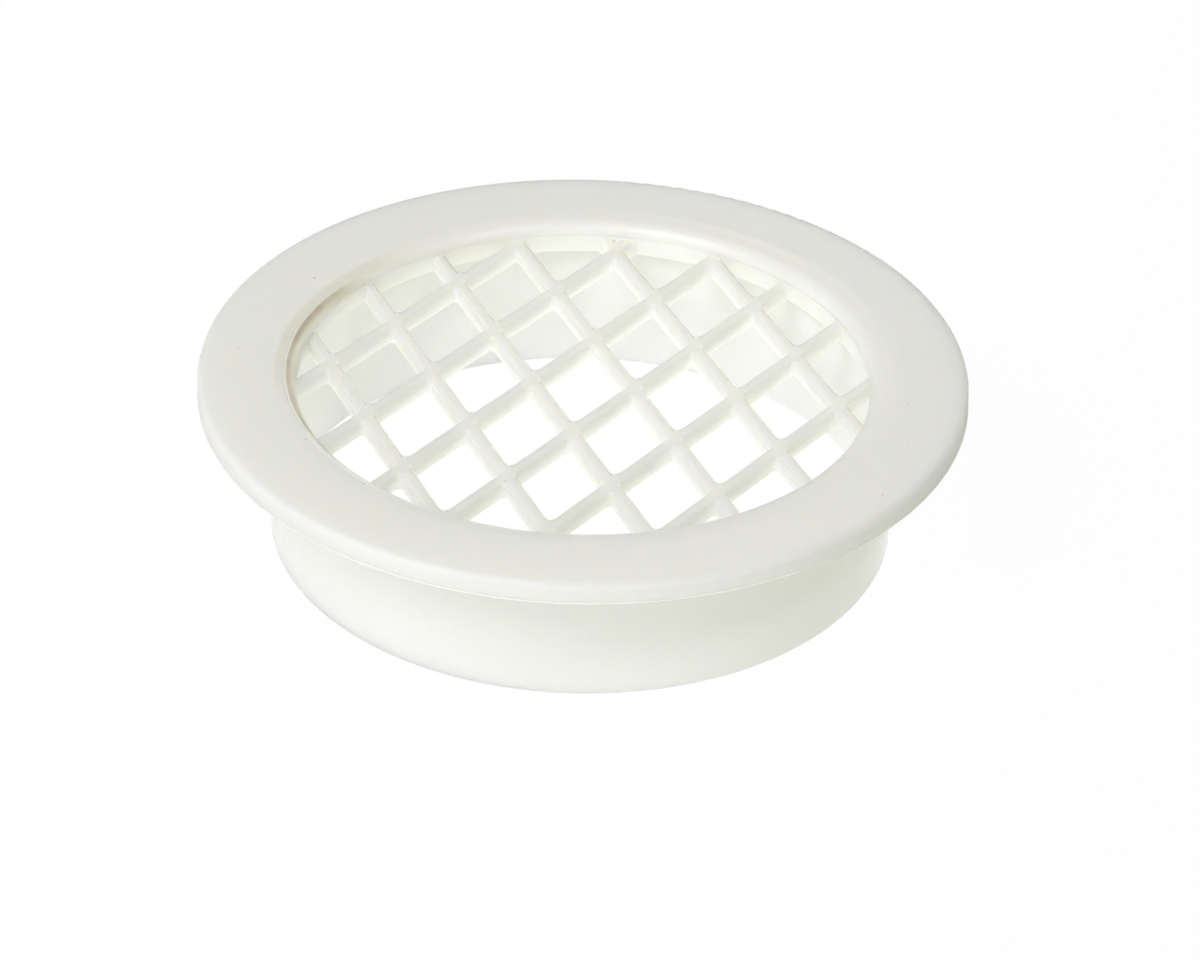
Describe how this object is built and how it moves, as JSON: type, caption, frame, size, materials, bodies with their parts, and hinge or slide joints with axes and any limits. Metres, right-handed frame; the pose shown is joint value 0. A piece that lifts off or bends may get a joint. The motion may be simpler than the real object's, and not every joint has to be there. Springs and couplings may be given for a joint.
{
  "type": "vent screen",
  "caption": "Round white plastic vent screen: a flat flange around a sunken grille of crossing bars, with a plain round spigot below that pushes into a pipe's socket.",
  "frame": {"origin": "centre of the spigot's rim, the lowest face", "axes": "+Z along the spigot's axis, out of the pipe and towards the flange's face; +Y along the longer diagonals of the grille's cells"},
  "size_m": [0.11, 0.11, 0.0251],
  "materials": {
    "white_plastic": "satin, lightly specked"
  },
  "bodies": {
    "root": {"vent_screen": "white_plastic"}
  },
  "joints": []
}
